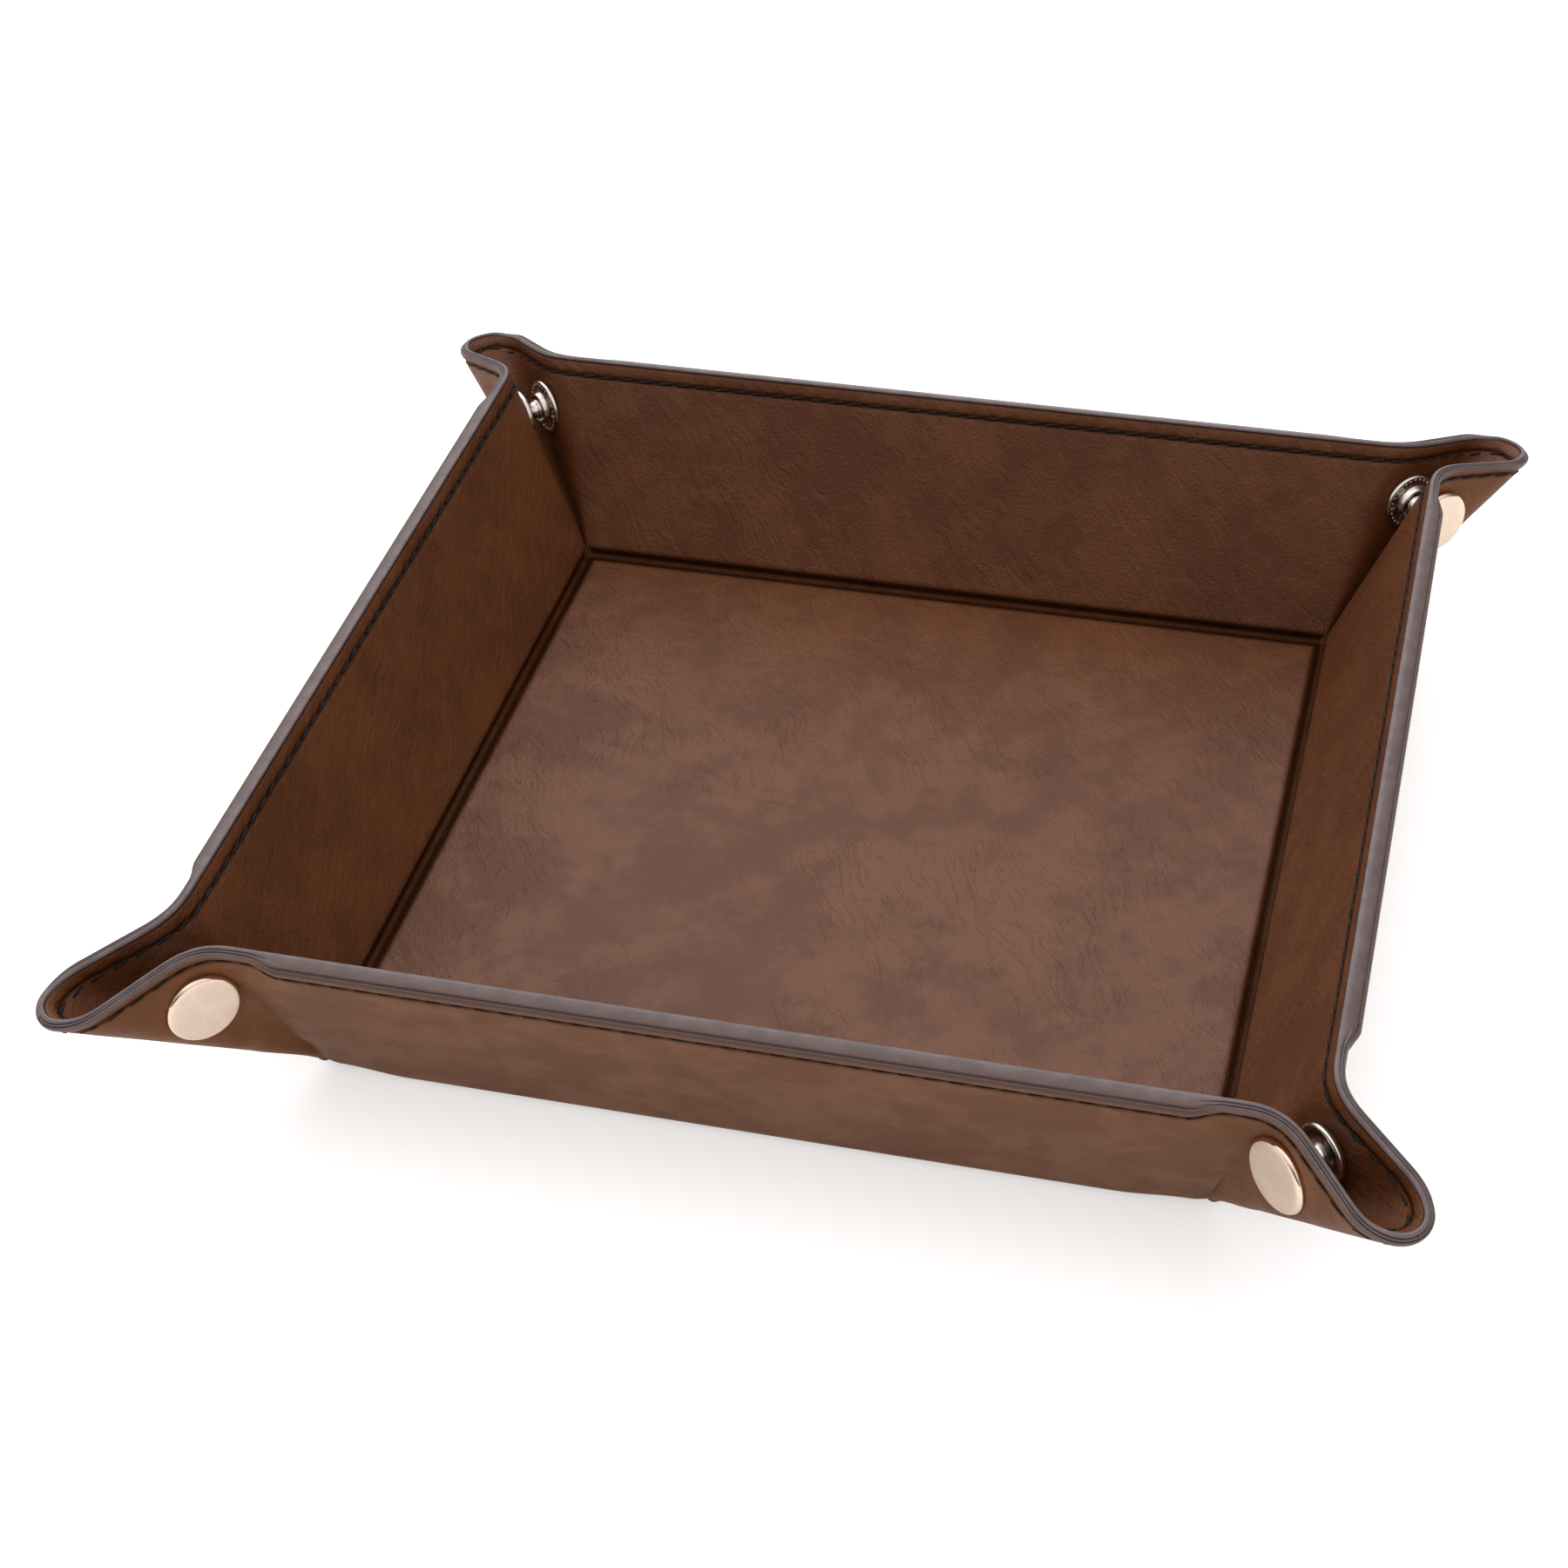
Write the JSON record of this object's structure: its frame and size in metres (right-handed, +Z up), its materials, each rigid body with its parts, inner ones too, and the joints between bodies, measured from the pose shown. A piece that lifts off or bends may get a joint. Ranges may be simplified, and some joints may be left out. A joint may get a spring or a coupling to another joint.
{
  "type": "folding dice tray",
  "caption": "Square snap-up tray of lined leatherette: stiffened floor and sloping walls on creases, corners pinched outward into rounded ears closed by press snaps.",
  "frame": {"origin": "centre of the underside of the floor panel", "axes": "+Z up; the front wall faces -Y and the side walls face +X and -X"},
  "size_m": [0.2188, 0.2188, 0.0397],
  "materials": {
    "skin": "satin",
    "lining": "satin",
    "board": "matte",
    "thread": "matte",
    "snap": "polished"
  },
  "bodies": {
    "base": {"base_board": "board", "base_skin": "skin", "base_lining": "lining"},
    "front_wall": {"front_board": "board", "front_skin": "skin", "front_lining": "lining", "front_stitching": "thread"},
    "right_wall": {"right_board": "board", "right_skin": "skin", "right_lining": "lining", "right_stitching": "thread"},
    "back_wall": {"back_board": "board", "back_skin": "skin", "back_lining": "lining", "back_stitching": "thread"},
    "left_wall": {"left_board": "board", "left_skin": "skin", "left_lining": "lining", "left_stitching": "thread"},
    "front_left_flank": {"front_left_flank_skin": "skin", "front_left_flank_lining": "lining", "front_left_cap": "snap", "front_left_socket": "snap"},
    "front_left_nose": {"front_left_nose": "skin"},
    "front_right_flank": {"front_right_flank_skin": "skin", "front_right_flank_lining": "lining", "front_right_cap": "snap", "front_right_socket": "snap"},
    "front_right_nose": {"front_right_nose": "skin"},
    "right_front_flank": {"right_front_flank_skin": "skin", "right_front_flank_lining": "lining", "right_front_cap": "snap", "right_front_stud": "snap"},
    "right_front_nose": {"right_front_nose": "skin"},
    "right_back_flank": {"right_back_flank_skin": "skin", "right_back_flank_lining": "lining", "right_back_cap": "snap", "right_back_stud": "snap"},
    "right_back_nose": {"right_back_nose": "skin"},
    "back_right_flank": {"back_right_flank_skin": "skin", "back_right_flank_lining": "lining", "back_right_cap": "snap", "back_right_socket": "snap"},
    "back_right_nose": {"back_right_nose": "skin"},
    "back_left_flank": {"back_left_flank_skin": "skin", "back_left_flank_lining": "lining", "back_left_cap": "snap", "back_left_socket": "snap"},
    "back_left_nose": {"back_left_nose": "skin"},
    "left_back_flank": {"left_back_flank_skin": "skin", "left_back_flank_lining": "lining", "left_back_cap": "snap", "left_back_stud": "snap"},
    "left_back_nose": {"left_back_nose": "skin"},
    "left_front_flank": {"left_front_flank_skin": "skin", "left_front_flank_lining": "lining", "left_front_cap": "snap", "left_front_stud": "snap"},
    "left_front_nose": {"left_front_nose": "skin"}
  },
  "joints": [
    {"name": "front_wall_fold", "type": "hinge", "parent": "base", "child": "front_wall", "pos_m": [0, -0.0745, 0.0036], "axis": [1, 0, 0], "range_deg": [0, 65]},
    {"name": "front_left_flank_fold", "type": "hinge", "parent": "front_wall", "child": "front_left_flank", "pos_m": [-0.0745, -0.0745, 0.0036], "axis": [0.2672, 0.4293, -0.8628], "range_deg": [0, 52.65]},
    {"name": "front_left_nose_fold", "type": "hinge", "parent": "front_left_flank", "child": "front_left_nose", "pos_m": [-0.0745, -0.0745, 0.0036], "axis": [-0.5212, -0.6322, 0.5733], "range_deg": [0, 90.07]},
    {"name": "front_right_flank_fold", "type": "hinge", "parent": "front_wall", "child": "front_right_flank", "pos_m": [0.0745, -0.0745, 0.0036], "axis": [0.2672, -0.4293, 0.8628], "range_deg": [0, 52.65]},
    {"name": "front_right_nose_fold", "type": "hinge", "parent": "front_right_flank", "child": "front_right_nose", "pos_m": [0.0745, -0.0745, 0.0036], "axis": [-0.5212, 0.6322, -0.5733], "range_deg": [0, 90.07]},
    {"name": "right_wall_fold", "type": "hinge", "parent": "base", "child": "right_wall", "pos_m": [0.0745, 0, 0.0036], "axis": [0, 1, 0], "range_deg": [0, 65.01]},
    {"name": "right_front_flank_fold", "type": "hinge", "parent": "right_wall", "child": "right_front_flank", "pos_m": [0.0745, -0.0745, 0.0036], "axis": [-0.4293, 0.2672, -0.8628], "range_deg": [0, 52.65]},
    {"name": "right_front_nose_fold", "type": "hinge", "parent": "right_front_flank", "child": "right_front_nose", "pos_m": [0.0745, -0.0745, 0.0036], "axis": [0.6322, -0.5212, 0.5733], "range_deg": [0, 90.07]},
    {"name": "right_back_flank_fold", "type": "hinge", "parent": "right_wall", "child": "right_back_flank", "pos_m": [0.0745, 0.0745, 0.0036], "axis": [0.4293, 0.2672, 0.8628], "range_deg": [0, 52.65]},
    {"name": "right_back_nose_fold", "type": "hinge", "parent": "right_back_flank", "child": "right_back_nose", "pos_m": [0.0745, 0.0745, 0.0036], "axis": [-0.6322, -0.5212, -0.5733], "range_deg": [0, 90.07]},
    {"name": "back_wall_fold", "type": "hinge", "parent": "base", "child": "back_wall", "pos_m": [0, 0.0745, 0.0036], "axis": [-1, 0, 0], "range_deg": [0, 65.01]},
    {"name": "back_right_flank_fold", "type": "hinge", "parent": "back_wall", "child": "back_right_flank", "pos_m": [0.0745, 0.0745, 0.0036], "axis": [-0.2672, -0.4293, -0.8628], "range_deg": [0, 52.65]},
    {"name": "back_right_nose_fold", "type": "hinge", "parent": "back_right_flank", "child": "back_right_nose", "pos_m": [0.0745, 0.0745, 0.0036], "axis": [0.5212, 0.6322, 0.5733], "range_deg": [0, 90.07]},
    {"name": "back_left_flank_fold", "type": "hinge", "parent": "back_wall", "child": "back_left_flank", "pos_m": [-0.0745, 0.0745, 0.0036], "axis": [-0.2672, 0.4293, 0.8628], "range_deg": [0, 52.65]},
    {"name": "back_left_nose_fold", "type": "hinge", "parent": "back_left_flank", "child": "back_left_nose", "pos_m": [-0.0745, 0.0745, 0.0036], "axis": [0.5212, -0.6322, -0.5733], "range_deg": [0, 90.07]},
    {"name": "left_wall_fold", "type": "hinge", "parent": "base", "child": "left_wall", "pos_m": [-0.0745, 0, 0.0036], "axis": [0, -1, 0], "range_deg": [0, 65.01]},
    {"name": "left_back_flank_fold", "type": "hinge", "parent": "left_wall", "child": "left_back_flank", "pos_m": [-0.0745, 0.0745, 0.0036], "axis": [0.4293, -0.2672, -0.8628], "range_deg": [0, 52.65]},
    {"name": "left_back_nose_fold", "type": "hinge", "parent": "left_back_flank", "child": "left_back_nose", "pos_m": [-0.0745, 0.0745, 0.0036], "axis": [-0.6322, 0.5212, 0.5733], "range_deg": [0, 90.07]},
    {"name": "left_front_flank_fold", "type": "hinge", "parent": "left_wall", "child": "left_front_flank", "pos_m": [-0.0745, -0.0745, 0.0036], "axis": [-0.4293, -0.2672, 0.8628], "range_deg": [0, 52.65]},
    {"name": "left_front_nose_fold", "type": "hinge", "parent": "left_front_flank", "child": "left_front_nose", "pos_m": [-0.0745, -0.0745, 0.0036], "axis": [0.6322, 0.5212, -0.5733], "range_deg": [0, 90.07]}
  ],
  "couplings": [
    {"joint": "front_left_flank_fold", "follows": "front_wall_fold", "ratio": 0.80981},
    {"joint": "front_left_nose_fold", "follows": "front_wall_fold", "ratio": 1.3856},
    {"joint": "front_right_flank_fold", "follows": "front_wall_fold", "ratio": 0.80981},
    {"joint": "front_right_nose_fold", "follows": "front_wall_fold", "ratio": 1.3856},
    {"joint": "right_wall_fold", "follows": "front_wall_fold", "ratio": 1},
    {"joint": "right_front_flank_fold", "follows": "front_wall_fold", "ratio": 0.80981},
    {"joint": "right_front_nose_fold", "follows": "front_wall_fold", "ratio": 1.3856},
    {"joint": "right_back_flank_fold", "follows": "front_wall_fold", "ratio": 0.80981},
    {"joint": "right_back_nose_fold", "follows": "front_wall_fold", "ratio": 1.3856},
    {"joint": "back_wall_fold", "follows": "front_wall_fold", "ratio": 1},
    {"joint": "back_right_flank_fold", "follows": "front_wall_fold", "ratio": 0.80981},
    {"joint": "back_right_nose_fold", "follows": "front_wall_fold", "ratio": 1.3856},
    {"joint": "back_left_flank_fold", "follows": "front_wall_fold", "ratio": 0.80981},
    {"joint": "back_left_nose_fold", "follows": "front_wall_fold", "ratio": 1.3856},
    {"joint": "left_wall_fold", "follows": "front_wall_fold", "ratio": 1},
    {"joint": "left_back_flank_fold", "follows": "front_wall_fold", "ratio": 0.80981},
    {"joint": "left_back_nose_fold", "follows": "front_wall_fold", "ratio": 1.3856},
    {"joint": "left_front_flank_fold", "follows": "front_wall_fold", "ratio": 0.80981},
    {"joint": "left_front_nose_fold", "follows": "front_wall_fold", "ratio": 1.3856}
  ]
}
